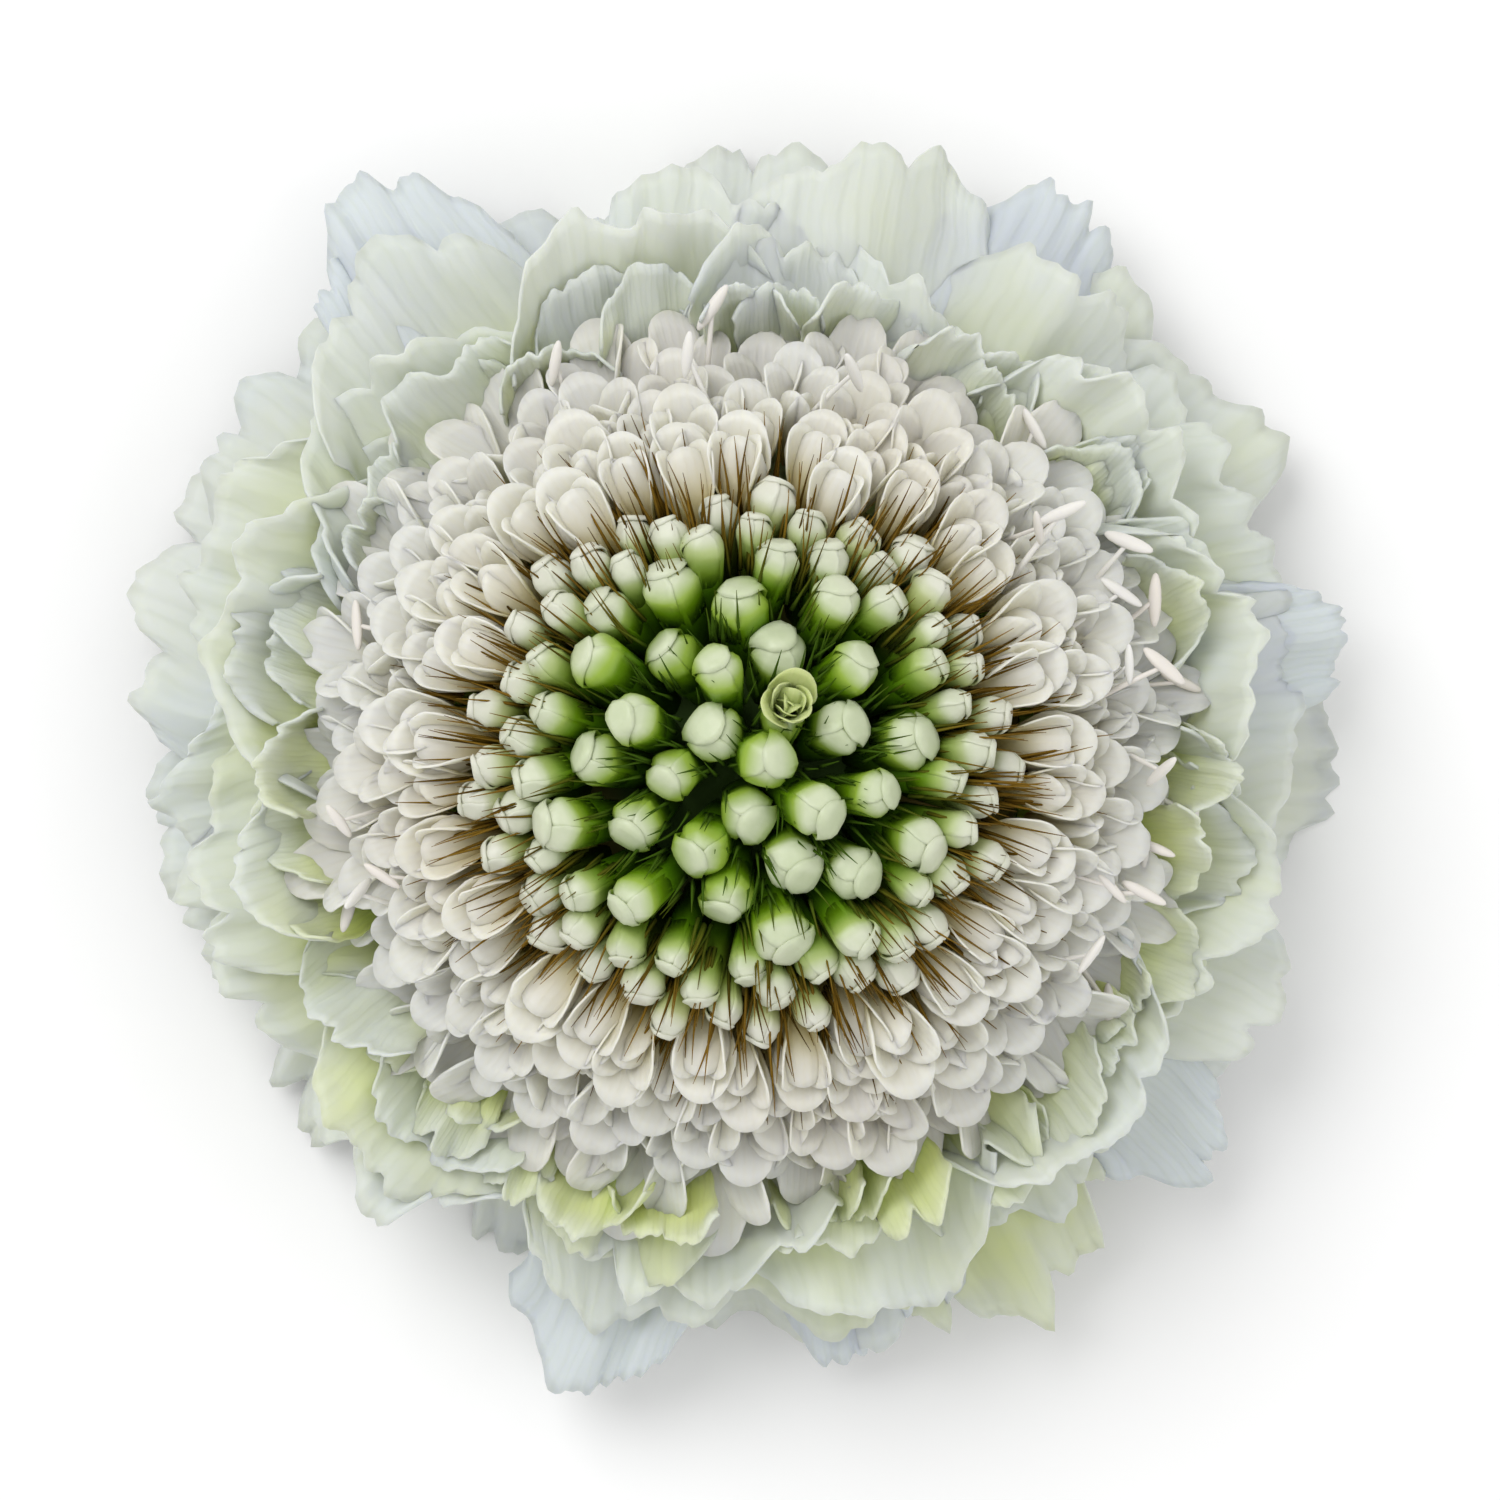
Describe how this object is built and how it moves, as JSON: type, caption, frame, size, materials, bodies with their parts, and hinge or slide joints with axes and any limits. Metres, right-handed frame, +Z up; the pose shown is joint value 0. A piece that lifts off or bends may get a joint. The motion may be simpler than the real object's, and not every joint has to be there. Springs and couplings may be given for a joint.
{
  "type": "scabiosa flower head",
  "caption": "Cut scabiosa flower head resting face up: a dome of green buds ringed by cream florets over a ruffled white skirt.",
  "frame": {"origin": "on the surface under the middle of the head, at the centre of the bottom of its box", "axes": "+Z up through the middle of the bloom, which faces up; +X to the right and +Y to the top as the bloom is seen from above"},
  "size_m": [0.0637, 0.0653, 0.0263],
  "materials": {
    "stem_green": "fresh ridged green stem with a pale cut end",
    "bract_green": "matt green leaf with a paler midrib",
    "ray_white": "thin translucent petal, greenish white with a bluish rim and a yellow-green base",
    "floret_cream": "thin cream-white petal, brownish at its base",
    "bud_green": "waxy bud, vivid green below and pale green at its tip"
  },
  "bodies": {
    "root": {"stem": "stem_green", "involucre_bracts": "bract_green", "ray_florets": "ray_white", "disc_florets": "floret_cream", "centre_buds": "bud_green"}
  },
  "joints": []
}
